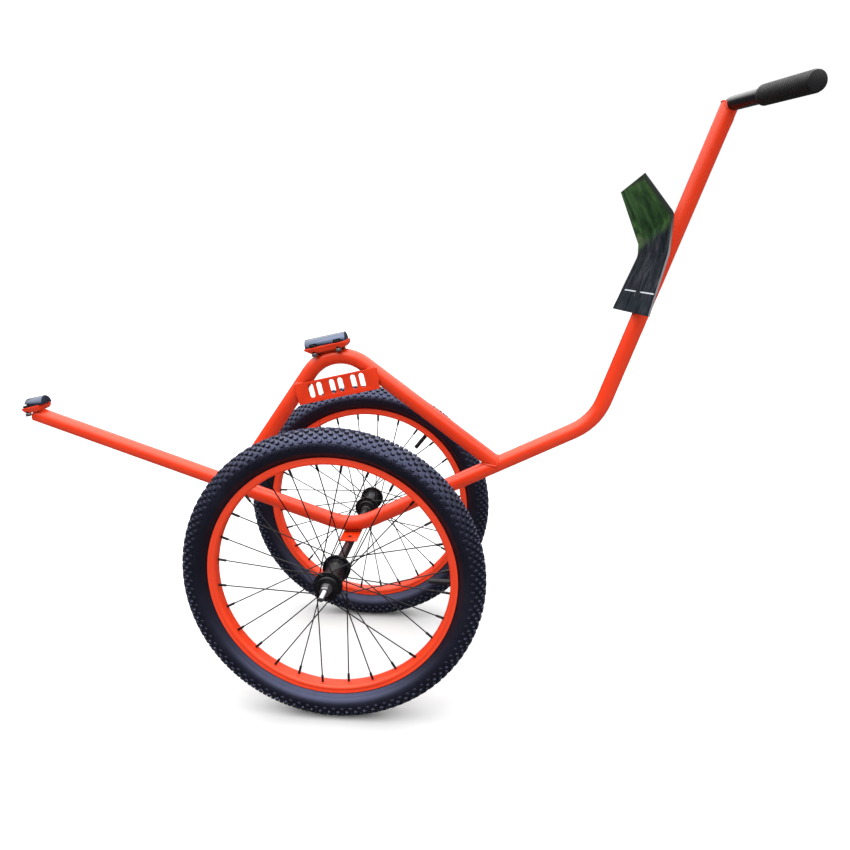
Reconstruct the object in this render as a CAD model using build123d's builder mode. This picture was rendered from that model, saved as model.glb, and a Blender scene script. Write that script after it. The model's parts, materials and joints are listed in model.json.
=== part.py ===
from build123d import *

import os
from math import cos, radians, sin

# Two-wheeled game cart: one bent spine tube over a through axle, with load rests and a pull
# handle. All sizes are in millimetres. X runs along the cart towards the handle, Y along the
# axle with the left wheel at +Y, and Z is up from the floor. The cart is drawn standing on its
# wheels with the handle held at hip height, so that its bed line slopes by BED_TILT.

os.makedirs("parts", exist_ok=True)

# ---- driving dimensions -------------------------------------------------------------------
TYRE_R = 254.4  # 20 inch tyre
TYRE_HALF_W = 27.0
TYRE_WALL = 3.6
RIM_R = 209.0  # outer edge of the rim's flanges
RIM_FLOOR_R = 196.0  # face of the rim's bed that looks at the hub
RIM_HALF_W = 13.0
RIM_WALL = 1.8
WHEEL_Y = 181.0  # wheel centre plane, from the cart's centre plane

SPINE_R = 14.0
TUBE_WALL = 2.0
SPINE_BEND = 100.0  # centre-line radius of the spine's two bends
HUMP_BEND = 70.0
HANDLE_FOOT = 231.6  # corner of the spine's second bend, above the axle
HANDLE_TOP = 749.0  # handlebar centre, above the axle
HANDLE_RISE = 70.7  # slope of the handle tube, in degrees

AXLE_X = -28.8  # puts the origin under the middle of the cart's length
AXLE_Z = TYRE_R
AXLE_R = 5.0
AXLE_HALF = 263.0
AXLE_END_R = 4.75  # the bare ends outside the nuts are turned down a little
AXLE_END_Y = 239.4
AXLE_END_CHAMFER = 1.2
AXLE_TUBE_R = 8.0
AXLE_TUBE_HALF = 133.0
AXLE_PLATE = (33.0, 102.0, 2.5)
SET_SCREW_Y = 31.0
SET_SCREW_R = 4.0
SET_SCREW_SINK = 0.4
SET_SCREW_KEY = (2.3, 3.0)  # corner radius and depth of the key socket

HUB_HALF = 39.0
HUB_BARREL_R = 15.0
HUB_BORE_R = 9.0
FLANGE_IN = 30.8  # a flange's two faces, from the wheel centre plane
FLANGE_OUT = 35.0
FLANGE_R = 24.0
BEARING_R = 13.0
BEARING_IN = 26.0
BEARING_OUT = 34.0
SPACER_R = 7.0
NUT_15_R = 8.66  # corner radius of a nut 15 mm across its flats

SPOKES_PER_FLANGE = 14
CROSSES = 2
SPOKE_R = 1.0
SPOKE_HOLE_RING = 20.5
NIPPLE_R = 2.1
NIPPLE_L = 15.0
NIPPLE_TOP_R = 197.5  # radius from the hub at which a nipple's head ends
STAGGER = 2.5  # nipples from the rim's centre line
VALVE_R = 4.0

BED_TILT = 12.8  # slope of the line through the load rests, in degrees
REST_HALF_W = 16.0
REST_H = 15.0
REST_EDGE = 1.0
SADDLE_W = 44.0
SADDLE_H = 10.5
SADDLE_FOOT_W = 34.0
SADDLE_LIP = 2.0
BOLT_Y = 16.0
M6_R = 3.0
M6_HEAD = (5.77, 4.0)  # corner radius and height
M6_NUT_H = 5.2
NUT_GAP = 0.2  # left under a saddle for its nuts
BOLT_L = 16.5
BOLT_FIT = 0.15  # radial clearance of a bolt in its hole
REST_POCKET = (13.5, 13.5, 6.0)  # room for a bolt head along a block's lower edge

BACK_HALF_W = 125.0
BACK_T = 3.0
BACK_SCREWS = ((447.0, 21.4), (487.0, 22.2))  # height above the axle, plate's face from the tube's line
SCREW_HEAD_R = 5.4
SCREW_SINK = 1.5  # depth of the seat of a flat head, sunk into the plate
RIVET_NUT_R = 4.5
RIVET_NUT_RUN = (5.0, 13.2)  # from the tube's centre line
PAD = (76.0, 24.0, 24.0)
PLUG_GAP = 0.1  # between a plug and the bore it closes

BAR_R = 11.1
BAR_SWEEP = 12.0
BAR_DROOP = 3.0
BAR_HALF = 215.0
BAR_BEND = 80.0
GRIP_L = 120.0
GRIP_R = 15.0

AT_LOW_END = (Align.CENTER, Align.CENTER, Align.MIN)
AT_HIGH_END = (Align.CENTER, Align.CENTER, Align.MAX)


def save(builder, name):
    """Label a finished sub-part and write it to its own STEP file."""
    builder.part.label = name
    export_step(builder.part, f"parts/{name}.step")


def spot(x, z, y=0.0):
    """A point given from the axle's centre."""
    return Vector(AXLE_X + x, y, AXLE_Z + z)


def rod(start, end, radius, mode=Mode.ADD):
    """A solid round bar between two points."""
    run = end - start
    with Locations(Plane(origin=start, z_dir=run)):
        Cylinder(radius, run.length, align=AT_LOW_END, mode=mode)


def tube(points, bend, radius, wall):
    """A round tube swept along straight runs joined by tangent arcs; no wall makes it solid."""
    with BuildLine() as path:
        FilletPolyline(*points, radius=bend)
    with BuildSketch(Plane(origin=path.line @ 0, z_dir=path.line % 0)) as section:
        Circle(radius)
        if wall:
            Circle(radius - wall, mode=Mode.SUBTRACT)
    return sweep(section.sketch, path=path.line, mode=Mode.PRIVATE)


# ---- frame lines --------------------------------------------------------------------------
handle_dir = Vector(cos(radians(HANDLE_RISE)), 0, sin(radians(HANDLE_RISE)))
tip = spot(-607, 223.4)
vertex = spot(0, 16.55)
handle_bend = spot(438.2, HANDLE_FOOT)
handle_end = handle_bend + handle_dir * ((HANDLE_TOP - HANDLE_FOOT) / handle_dir.Z)
spine_points = [tip, vertex, handle_bend, handle_end]

hump_left = spot(-226, 93.5)
hump_top = spot(-30, 371)
hump_right = spot(268, 148)

bar_run = cos(radians(BAR_DROOP))
sweep_dir = Vector(
    sin(radians(BAR_SWEEP)) * bar_run, cos(radians(BAR_SWEEP)) * bar_run, -sin(radians(BAR_DROOP))
)
left_bar_end = handle_end + sweep_dir * BAR_HALF
right_bar_end = handle_end + Vector(sweep_dir.X, -sweep_dir.Y, sweep_dir.Z) * BAR_HALF
bar_points = [right_bar_end, handle_end, left_bar_end]

# The saddles' planes lie on their undersides, with x up the bed's slope and z square to it.
slope = Vector(cos(radians(BED_TILT)), 0, sin(radians(BED_TILT)))
square = Vector(-slope.Z, 0, slope.X)
leg_left = (hump_left - hump_top).normalized()
leg_right = (hump_right - hump_top).normalized()
half_angle = radians(leg_left.get_angle(leg_right) / 2)
hump_centre = hump_top + (leg_left + leg_right).normalized() * (HUMP_BEND / sin(half_angle))
top_seat = hump_centre + square * (HUMP_BEND + SPINE_R) - slope * 4
tip_seat = spot(-602.4, 229.8)
top_plane = Plane(origin=top_seat, x_dir=slope, z_dir=square)
tip_plane = Plane(origin=tip_seat, x_dir=slope, z_dir=square)
TOP_BOLTS = [(x, y) for x in (-22, 22) for y in (-BOLT_Y, BOLT_Y)]
TIP_BOLTS = [(-10, y) for y in (-BOLT_Y, BOLT_Y)]
# saddle length, rest length, rest's shift along the slope, and the cuts under the saddle's two ends
TOP_SIZES = (76.0, 74.0, 0.0, ((10.0, 8.0), (4.0, 4.0)))
TIP_SIZES = (31.8, 35.0, 4.5, ((4.0, 4.0), (4.0, 4.0)))

spine_core = tube(spine_points, SPINE_BEND, SPINE_R, 0)
bar_core = tube(bar_points, BAR_BEND, BAR_R, 0)

# ---- back plate: a stiff sheet across the handle, folded on a slightly skewed line --------
RIGHT_FOLD = [(490.5, 427), (513.5, 522), (515.5, 578), (470, 634)]
LEFT_FOLD = [(476.5, 420.5), (516, 516), (515.5, 536), (478.5, 627)]
back_faces = []
for edge_y, fold in ((-BACK_HALF_W, RIGHT_FOLD), (BACK_HALF_W, LEFT_FOLD)):
    with BuildSketch(Plane.XZ.offset(-edge_y)) as back_section:
        with BuildLine():
            FilletPolyline(*[(AXLE_X + x, AXLE_Z + z) for x, z in fold], radius=[30, 10])
            offset(amount=BACK_T, side=Side.RIGHT)
        make_face()
    back_faces.append(back_section.sketch)
back_sheet = loft(back_faces, ruled=True, mode=Mode.PRIVATE)

# Two flat-headed screws hold it, square to the handle tube, in rivet nuts in the tube's wall.
screw_dir = Vector(-handle_dir.Z, 0, handle_dir.X)
screw_runs = []
for rise, face in BACK_SCREWS:
    screw_foot = handle_bend + handle_dir * ((rise - HANDLE_FOOT) / handle_dir.Z)
    screw_runs.append((screw_foot, screw_foot + screw_dir * (face - SCREW_SINK)))

with BuildPart() as back_plate:
    add(back_sheet)
    for foot, seat in screw_runs:
        rod(foot, seat, M6_R + BOLT_FIT, Mode.SUBTRACT)
        rod(seat, seat + screw_dir * BACK_T, SCREW_HEAD_R + BOLT_FIT, Mode.SUBTRACT)
save(back_plate, "back_plate")

pad_plane = Plane(origin=(screw_runs[0][0] + screw_runs[1][0]) / 2, x_dir=handle_dir, z_dir=screw_dir)
with BuildPart() as pad_block:
    with Locations(pad_plane):
        Box(*PAD, align=AT_LOW_END)
    add(spine_core, mode=Mode.SUBTRACT)
    add(back_sheet, mode=Mode.SUBTRACT)
    for foot, seat in screw_runs:
        rod(foot, seat, M6_R + BOLT_FIT, Mode.SUBTRACT)
with BuildPart() as back_plate_pad:
    # the block's remainder outside the sheet is left behind
    add(pad_block.part.solids().sort_by(lambda piece: (piece.center() - pad_plane.origin).dot(screw_dir))[0])
save(back_plate_pad, "back_plate_pad")

with BuildPart() as back_plate_rivet_nuts:
    for foot, seat in screw_runs:
        rod(foot + screw_dir * RIVET_NUT_RUN[0], foot + screw_dir * RIVET_NUT_RUN[1], RIVET_NUT_R)
        rod(foot, seat, M6_R + PLUG_GAP, Mode.SUBTRACT)
save(back_plate_rivet_nuts, "back_plate_rivet_nuts")

with BuildPart() as back_plate_screws:
    for foot, seat in screw_runs:
        rod(foot + screw_dir * RIVET_NUT_RUN[0], seat, M6_R)
        rod(seat, seat + screw_dir * (SCREW_SINK - PLUG_GAP), SCREW_HEAD_R)
save(back_plate_screws, "back_plate_screws")

# ---- spine and hump -----------------------------------------------------------------------
TIP_CUT = (140.0, 60.0, 40.0)  # clears everything above the tip saddle's underside
TIP_PLUG_L = 8.0
with BuildPart() as spine_tube:
    add(tube(spine_points, SPINE_BEND, SPINE_R, TUBE_WALL))
    # the tip is mitred under its saddle and the top is coped to the handlebar
    with Locations(tip_plane):
        Box(*TIP_CUT, align=AT_LOW_END, mode=Mode.SUBTRACT)
    add(bar_core, mode=Mode.SUBTRACT)
    for foot, seat in screw_runs:
        rod(foot, seat, RIVET_NUT_R + PLUG_GAP, Mode.SUBTRACT)
save(spine_tube, "spine_tube")

with BuildPart() as tip_plug:
    rod(tip, tip + (vertex - tip).normalized() * TIP_PLUG_L, SPINE_R - TUBE_WALL - PLUG_GAP)
    with Locations(tip_plane):
        Box(*TIP_CUT, align=AT_LOW_END, mode=Mode.SUBTRACT)
save(tip_plug, "tip_plug")

with BuildPart() as hump_with_stubs:
    add(tube([hump_left, hump_top, hump_right], HUMP_BEND, SPINE_R, TUBE_WALL))
    add(spine_core, mode=Mode.SUBTRACT)
with BuildPart() as hump_tube:
    # the coped ends inside and below the spine are left behind
    add(hump_with_stubs.part.solids().sort_by(SortBy.VOLUME)[-1])
save(hump_tube, "hump_tube")

# ---- brace plate across the hump's right side, with three pairs of lightening slots -------
BRACE = (151.0, 38.5, 3.0)  # parallel to the bed line
BRACE_CORNER_R = 2.0
SLOT_PITCH = 39.5
SLOT_GAP = 15.5  # between the two slots of a pair
SLOT = (26.0, 9.5)
SLOT_RISE = 2.0  # from the plate's middle line
with BuildPart() as brace_plate:
    with BuildSketch(Plane(origin=spot(-19.6, 289.2, -SPINE_R), x_dir=slope, z_dir=(0, -1, 0))):
        RectangleRounded(BRACE[0], BRACE[1], BRACE_CORNER_R)
        with Locations((0, SLOT_RISE)):
            with GridLocations(SLOT_PITCH, 0, 3, 1):
                with GridLocations(SLOT_GAP, 0, 2, 1):
                    SlotOverall(*SLOT, rotation=90, mode=Mode.SUBTRACT)
    extrude(amount=BRACE[2])
save(brace_plate, "brace_plate")


# ---- load rests: a steel saddle, a D-section rubber block, and its bolts and nuts ----------
def make_saddle(name, plane, sizes, bolts):
    half, (low_cut, high_cut) = sizes[0] / 2, sizes[3]
    with BuildPart() as saddle:
        with BuildSketch(Plane(plane.origin + Vector(0, SADDLE_W / 2, 0), plane.x_dir, (0, -1, 0))):
            with BuildLine():
                Polyline(
                    (low_cut[0] - half, 0),
                    (half - high_cut[0], 0),
                    (half, high_cut[1]),
                    (half, SADDLE_H),
                    (-half, SADDLE_H),
                    (-half, low_cut[1]),
                    close=True,
                )
            make_face()
        extrude(amount=SADDLE_W)
        # its two long sides lean in below a short upright lip
        with BuildSketch(Plane(plane.origin - plane.x_dir * half, (0, 1, 0), plane.x_dir)):
            with BuildLine():
                Polyline(
                    (-SADDLE_FOOT_W / 2, 0),
                    (SADDLE_FOOT_W / 2, 0),
                    (SADDLE_W / 2, SADDLE_H - SADDLE_LIP),
                    (SADDLE_W / 2, SADDLE_H),
                    (-SADDLE_W / 2, SADDLE_H),
                    (-SADDLE_W / 2, SADDLE_H - SADDLE_LIP),
                    close=True,
                )
            make_face()
        extrude(amount=2 * half, mode=Mode.INTERSECT)
        with Locations(plane):
            with Locations(bolts):
                Cylinder(M6_R + BOLT_FIT, 4 * SADDLE_H, mode=Mode.SUBTRACT)
    save(saddle, f"{name}_saddle")


def make_rest(name, plane, sizes, bolts):
    with BuildPart() as rest:
        section = Plane(
            origin=plane.origin + plane.z_dir * SADDLE_H + plane.x_dir * (sizes[2] - sizes[1] / 2),
            x_dir=(0, 1, 0),
            z_dir=plane.x_dir,
        )
        with BuildSketch(section):
            with BuildLine():
                Polyline((-REST_HALF_W, REST_EDGE), (-REST_HALF_W, 0), (REST_HALF_W, 0), (REST_HALF_W, REST_EDGE))
                ThreePointArc((REST_HALF_W, REST_EDGE), (0, REST_H), (-REST_HALF_W, REST_EDGE))
            make_face()
        extrude(amount=sizes[1])
        # pockets keep clear of the bolt heads along the block's lower edges
        with Locations(plane.offset(SADDLE_H)):
            with Locations(bolts):
                Box(*REST_POCKET, align=AT_LOW_END, mode=Mode.SUBTRACT)
    save(rest, f"{name}_rest_block")


def make_saddle_bolts(name, plane, bolts):
    with BuildPart() as bolt_set:
        with Locations(plane.offset(SADDLE_H)):
            with Locations(bolts):
                Cylinder(M6_R, BOLT_L, align=AT_HIGH_END)
        for x, y in bolts:
            head_plane = Plane(plane.offset(SADDLE_H).from_local_coords((x, y, 0)), plane.x_dir, plane.z_dir)
            with BuildSketch(head_plane):
                RegularPolygon(M6_HEAD[0], 6)
            extrude(amount=M6_HEAD[1])
    save(bolt_set, f"{name}_saddle_bolts")
    with BuildPart() as nut_set:
        for x, y in bolts:
            nut_plane = Plane(plane.from_local_coords((x, y, -NUT_GAP)), plane.x_dir, plane.z_dir)
            with BuildSketch(nut_plane):
                RegularPolygon(M6_HEAD[0], 6)
                Circle(M6_R + BOLT_FIT, mode=Mode.SUBTRACT)
            extrude(amount=-M6_NUT_H)
    save(nut_set, f"{name}_saddle_nuts")


for rest_name, rest_plane, rest_sizes, rest_bolts in (
    ("top", top_plane, TOP_SIZES, TOP_BOLTS),
    ("tip", tip_plane, TIP_SIZES, TIP_BOLTS),
):
    make_saddle(rest_name, rest_plane, rest_sizes, rest_bolts)
    make_rest(rest_name, rest_plane, rest_sizes, rest_bolts)
    make_saddle_bolts(rest_name, rest_plane, rest_bolts)

# ---- axle ---------------------------------------------------------------------------------
screw_spots = [spot(0, AXLE_TUBE_R, y) for y in (-SET_SCREW_Y, SET_SCREW_Y)]
with BuildPart() as axle_plate:
    with Locations(Plane(spot(0, AXLE_TUBE_R))):
        Box(*AXLE_PLATE, align=AT_LOW_END)
    fillet(axle_plate.edges().filter_by(Axis.Z), 3)
    for foot in screw_spots:
        rod(foot, foot + Vector(0, 0, AXLE_PLATE[2]), SET_SCREW_R + 0.25, Mode.SUBTRACT)
save(axle_plate, "axle_plate")

with BuildPart() as axle_tube:
    rod(spot(0, 0, -AXLE_TUBE_HALF), spot(0, 0, AXLE_TUBE_HALF), AXLE_TUBE_R)
    rod(spot(0, 0, -AXLE_TUBE_HALF), spot(0, 0, AXLE_TUBE_HALF), AXLE_R + 0.1, Mode.SUBTRACT)
    for foot in screw_spots:
        rod(foot - Vector(0, 0, AXLE_TUBE_R), foot, SET_SCREW_R + 0.1, Mode.SUBTRACT)
save(axle_tube, "axle_tube")

with BuildPart() as axle_set_screws:
    for foot in screw_spots:
        screw_top = foot + Vector(0, 0, AXLE_PLATE[2] - SET_SCREW_SINK)
        rod(foot - Vector(0, 0, AXLE_TUBE_R - AXLE_R), screw_top, SET_SCREW_R)
        with BuildSketch(Plane(screw_top)):
            RegularPolygon(SET_SCREW_KEY[0], 6)
        extrude(amount=-SET_SCREW_KEY[1], mode=Mode.SUBTRACT)
save(axle_set_screws, "axle_set_screws")

with BuildPart() as axle_rod:
    rod(spot(0, 0, -AXLE_END_Y), spot(0, 0, AXLE_END_Y), AXLE_R)
    for end in (-1, 1):
        rod(spot(0, 0, end * AXLE_END_Y), spot(0, 0, end * AXLE_HALF), AXLE_END_R)
    end_faces = axle_rod.faces().sort_by(Axis.Y)
    chamfer(end_faces[0].edges() + end_faces[-1].edges(), AXLE_END_CHAMFER)
save(axle_rod, "axle_rod")


def axle_stack(name, side, pieces):
    """Rings and nuts threaded on the axle; each piece is (inner y, outer y, radius, sides)."""
    with BuildPart() as stack:
        for near, far, radius, sides in pieces:
            with BuildSketch(Plane(spot(0, 0, side * near), x_dir=(1, 0, 0), z_dir=(0, side, 0))):
                if sides:
                    RegularPolygon(radius, sides)
                else:
                    Circle(radius)
                Circle(AXLE_R + 0.1, mode=Mode.SUBTRACT)
            extrude(amount=far - near)
    save(stack, name)


for side_name, side in (("left", 1), ("right", -1)):
    inner_hub, outer_hub = WHEEL_Y - HUB_HALF, WHEEL_Y + HUB_HALF
    inner_race, outer_race = WHEEL_Y - BEARING_OUT - 0.4, WHEEL_Y + BEARING_OUT + 0.4
    inner_nut, outer_nut = inner_hub - 0.8, outer_hub + 4.4
    axle_stack(
        f"{side_name}_axle_spacers",
        side,
        [(inner_nut, inner_race, SPACER_R, 0), (outer_race, outer_nut, SPACER_R, 0)],
    )
    axle_stack(
        f"{side_name}_axle_washers",
        side,
        [(AXLE_TUBE_HALF, AXLE_TUBE_HALF + 1.6, 9.5, 0), (outer_nut, outer_nut + 1.6, 9.5, 0)],
    )
    axle_stack(
        f"{side_name}_axle_nuts",
        side,
        [(AXLE_TUBE_HALF + 1.6, inner_nut, NUT_15_R, 6), (outer_nut + 1.6, outer_nut + 13.6, NUT_15_R, 6)],
    )


# ---- wheels -------------------------------------------------------------------------------
# A wheel's pieces are drawn once round the Z axis, with Z outboard, and placed on both sides.
HOLE_STEP = 360 / SPOKES_PER_FLANGE


def polar(radius, degrees_round, outboard):
    """A point in a wheel's own frame."""
    turn = radians(degrees_round)
    return Vector(radius * cos(turn), radius * sin(turn), outboard)


def tyre_section(bead_r, bead_y, wall):
    """Half-open outline of a tyre, moved inwards by a wall, from one bead to the other."""
    knee, bulge = (RIM_R + 0.8, bead_y), (229.0, TYRE_HALF_W - wall)
    shoulder, crown = (TYRE_R - 8 - wall / 2, 21.5 - wall), (TYRE_R - wall, 0.0)
    low_knee, low_bulge = (knee[0], -knee[1]), (bulge[0], -bulge[1])
    low_shoulder = (shoulder[0], -shoulder[1])
    Line((bead_r, bead_y), knee)
    ThreePointArc(knee, bulge, shoulder)
    ThreePointArc(shoulder, crown, low_shoulder)
    ThreePointArc(low_shoulder, low_bulge, low_knee)
    Line(low_knee, (bead_r, -bead_y))


def ring_of(outline):
    """Revolve a closed outline of (radius, outboard) points round the wheel's axis."""
    with BuildSketch(Plane.XZ, mode=Mode.PRIVATE) as profile:
        with BuildLine():
            Polyline(*outline, close=True)
        make_face()
    revolve(profile.sketch, axis=Axis.Z)


def mirrored(outline):
    """Close half an outline by its mirror image across the wheel's centre plane."""
    return outline + [(radius, -outboard) for radius, outboard in reversed(outline)]


BEAD_R = 200.8
BEAD_Y = 10.9
with BuildPart() as tyre:
    with BuildSketch(Plane.XZ):
        with BuildLine():
            tyre_section(BEAD_R, BEAD_Y, 0)
            tyre_section(BEAD_R, BEAD_Y - TYRE_WALL, TYRE_WALL)
            Line((BEAD_R, BEAD_Y), (BEAD_R, BEAD_Y - TYRE_WALL))
            Line((BEAD_R, -BEAD_Y), (BEAD_R, TYRE_WALL - BEAD_Y))
        make_face()
    revolve(axis=Axis.Z)

TUBE_GAP = 0.4
TUBE_BED_R = 199.4
with BuildPart() as inner_tube:
    for wall, mode in ((0, Mode.ADD), (1.2, Mode.SUBTRACT)):
        depth = TYRE_WALL + TUBE_GAP + wall
        with BuildSketch(Plane.XZ):
            with BuildLine():
                tyre_section(TUBE_BED_R + wall, BEAD_Y - depth, depth)
                Line((TUBE_BED_R + wall, BEAD_Y - depth), (TUBE_BED_R + wall, depth - BEAD_Y))
            make_face()
        revolve(axis=Axis.Z, mode=mode)

with BuildPart() as rim_tape:
    ring_of([(198.1, -8.5), (198.7, -8.5), (198.7, 8.5), (198.1, 8.5)])

# Spokes are laced two-cross: those with heads inside lead one way, the others trail.
spoke_kinds = []
for flange in (-1, 1):
    for leading in (0, 1):
        hole_angle = HOLE_STEP * (leading + 0.25 * flange)
        rim_angle = hole_angle + HOLE_STEP * CROSSES * (1 - 2 * leading)
        bend_y, head_y = FLANGE_OUT + SPOKE_R + 1.2, FLANGE_IN
        if leading:
            bend_y, head_y = FLANGE_IN - SPOKE_R - 0.2, FLANGE_OUT
        spoke_kinds.append((
            polar(SPOKE_HOLE_RING, hole_angle, flange * head_y),
            polar(SPOKE_HOLE_RING, hole_angle, flange * bend_y),
            polar(NIPPLE_TOP_R, rim_angle, flange * STAGGER),
        ))


def repeat_round(piece):
    """Copies of a piece round the wheel, one for every second hole of a flange."""
    with PolarLocations(0, SPOKES_PER_FLANGE // 2):
        add(piece.part)


spoke_samples, nipple_samples = [], []
for hole, bend, rim_end in spoke_kinds:
    run = (rim_end - bend).normalized()
    through = (bend - hole).normalized()
    with BuildPart() as spoke_sample:
        rod(hole, bend, SPOKE_R)
        rod(hole - through * 0.9, hole, 2 * SPOKE_R)
        with Locations(bend):
            Sphere(SPOKE_R)
        rod(bend, rim_end - run * 4, SPOKE_R)
    with BuildPart() as nipple_sample:
        rod(rim_end - run * NIPPLE_L, rim_end, NIPPLE_R)
        rod(rim_end - run * NIPPLE_L, rim_end - run * 3.9, SPOKE_R + 0.05, Mode.SUBTRACT)
    spoke_samples.append(spoke_sample)
    nipple_samples.append(nipple_sample)

with BuildPart() as spokes:
    for sample in spoke_samples:
        repeat_round(sample)
with BuildPart() as spoke_nipples:
    for sample in nipple_samples:
        repeat_round(sample)

with BuildPart() as nipple_drills:
    for hole, bend, rim_end in spoke_kinds:
        run = (rim_end - bend).normalized()
        with PolarLocations(0, SPOKES_PER_FLANGE // 2):
            with Locations(Plane(origin=rim_end - run * 6, z_dir=run)):
                Cylinder(NIPPLE_R + 0.15, 12, align=AT_LOW_END)

with BuildPart() as rim:
    ring_of(
        mirrored([
            (RIM_R, RIM_HALF_W - RIM_WALL),
            (RIM_R, RIM_HALF_W),
            (RIM_FLOOR_R + 3, RIM_HALF_W),
            (RIM_FLOOR_R, RIM_HALF_W - 3.5),
        ])[:-1]
        + [
            (RIM_R, RIM_WALL - RIM_HALF_W),
            (RIM_FLOOR_R + 3.8, RIM_WALL - RIM_HALF_W),
            (RIM_FLOOR_R + 2, -9),
            (RIM_FLOOR_R + 2, 9),
            (RIM_FLOOR_R + 3.8, RIM_HALF_W - RIM_WALL),
        ]
    )
    add(nipple_drills.part, mode=Mode.SUBTRACT)

HUB_PROFILE = [
    (HUB_BORE_R, 0),
    (HUB_BORE_R, BEARING_IN),
    (BEARING_R, BEARING_IN),
    (BEARING_R, HUB_HALF),
    (15.5, HUB_HALF),
    (17.5, HUB_HALF - 1.5),
    (17.5, FLANGE_OUT),
    (FLANGE_R, FLANGE_OUT),
    (FLANGE_R, FLANGE_IN),
    (18.0, FLANGE_IN),
    (16.5, FLANGE_IN - 2.5),
    (HUB_BARREL_R, 12),
    (HUB_BARREL_R, 0),
]
with BuildPart() as hub_shell:
    with BuildSketch(Plane.XZ):
        with BuildLine():
            Polyline(*HUB_PROFILE, close=True)
        make_face()
        mirror(about=Plane.XZ)
    revolve(axis=Axis.Z)
    for flange in (-1, 1):
        with Locations((0, 0, flange * (FLANGE_IN + FLANGE_OUT) / 2)):
            with Locations(Rotation(0, 0, 0.25 * flange * HOLE_STEP)):
                with PolarLocations(SPOKE_HOLE_RING, SPOKES_PER_FLANGE):
                    Cylinder(SPOKE_R + 0.25, 6, mode=Mode.SUBTRACT)

with BuildPart() as hub_bearings:
    for end in (-1, 1):
        ring_of([
            (AXLE_R + 0.05, end * BEARING_IN),
            (BEARING_R, end * BEARING_IN),
            (BEARING_R, end * BEARING_OUT),
            (AXLE_R + 0.05, end * BEARING_OUT),
        ])

CAP_BORE_R = SPACER_R + 0.5
with BuildPart() as hub_dust_caps:
    for end in (-1, 1):
        ring_of([
            (CAP_BORE_R, end * (HUB_HALF - 1)),
            (BEARING_R, end * (HUB_HALF - 2)),
            (BEARING_R, end * (HUB_HALF - 3.5)),
            (CAP_BORE_R, end * (HUB_HALF - 3.5)),
        ])

# The valve stands in the inner tube and points at the hub through the rim tape and the rim.
VALVE_IN_R = 166.0
VALVE_OUT_R = 200.5
VALVE_HOLE_R = VALVE_R + 0.2
with BuildPart() as valve_drill:
    with Locations(Plane(origin=(RIM_FLOOR_R - 5, 0, 0), z_dir=(1, 0, 0))):
        Cylinder(VALVE_HOLE_R, VALVE_OUT_R + 0.2 - RIM_FLOOR_R + 5, align=AT_LOW_END)
with BuildPart() as valve_stem:
    with Locations(Plane(origin=(VALVE_IN_R, 0, 0), z_dir=(1, 0, 0))):
        Cylinder(2.6, 8, align=AT_LOW_END)
    with Locations(Plane(origin=(VALVE_IN_R + 8, 0, 0), z_dir=(1, 0, 0))):
        Cylinder(VALVE_R, VALVE_OUT_R - VALVE_IN_R - 8, align=AT_LOW_END)
with BuildPart() as valve_cap:
    with Locations(Plane(origin=(VALVE_IN_R - 6, 0, 0), z_dir=(1, 0, 0))):
        Cylinder(VALVE_R, 14, align=AT_LOW_END)
    with Locations(Plane(origin=(VALVE_IN_R - 0.2, 0, 0), z_dir=(1, 0, 0))):
        Cylinder(2.7, 9, align=AT_LOW_END, mode=Mode.SUBTRACT)

PIECES_IN_LINE = {"hub_bearings": hub_bearings, "hub_dust_caps": hub_dust_caps, "hub_shell": hub_shell,
                  "spokes": spokes, "spoke_nipples": spoke_nipples, "tyre": tyre}
DRILLED_PIECES = {"rim": rim, "rim_tape": rim_tape, "inner_tube": inner_tube}
VALVE_PIECES = {"valve_stem": valve_stem, "valve_cap": valve_cap}

for side_name, side, valve_turn in (("left", 1, 6), ("right", -1, 0)):
    wheel_plane = Plane(spot(0, 0, side * WHEEL_Y), x_dir=(1, 0, 0), z_dir=(0, side, 0))
    valve_place = Rotation(0, 0, valve_turn * 2 * HOLE_STEP)
    for piece_name, piece in {**PIECES_IN_LINE, **DRILLED_PIECES, **VALVE_PIECES}.items():
        with BuildPart() as placed:
            with Locations(wheel_plane):
                if piece_name in VALVE_PIECES:
                    with Locations(valve_place):
                        add(piece.part)
                else:
                    add(piece.part)
            if piece_name in DRILLED_PIECES:
                with Locations(wheel_plane):
                    with Locations(valve_place):
                        add(valve_drill.part, mode=Mode.SUBTRACT)
        save(placed, f"{side_name}_{piece_name}")

# ---- handlebar ----------------------------------------------------------------------------
with BuildPart() as handlebar:
    add(tube(bar_points, BAR_BEND, BAR_R, TUBE_WALL))
save(handlebar, "handlebar")

for side_name, bar_end in (("left", left_bar_end), ("right", right_bar_end)):
    along = (bar_end - handle_end).normalized()
    with BuildPart() as grip:
        rod(bar_end - along * GRIP_L, bar_end, GRIP_R)
        rod(bar_end - along * GRIP_L, bar_end, BAR_R + 0.05, Mode.SUBTRACT)
        fillet(grip.edges().filter_by(GeomType.CIRCLE).group_by(SortBy.RADIUS)[-1], 1)
    save(grip, f"{side_name}_grip")

with BuildPart() as handlebar_end_plugs:
    for bar_end in (left_bar_end, right_bar_end):
        along = (bar_end - handle_end).normalized()
        rod(bar_end, bar_end + along * 3, GRIP_R - 1)
        rod(bar_end - along * 12, bar_end, BAR_R - TUBE_WALL - 0.05)
save(handlebar_end_plugs, "handlebar_end_plugs")
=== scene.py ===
"""Looks of the game cart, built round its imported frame. Lengths are in metres."""
import json
from math import atan2, cos, radians, sin, sqrt, tau

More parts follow.
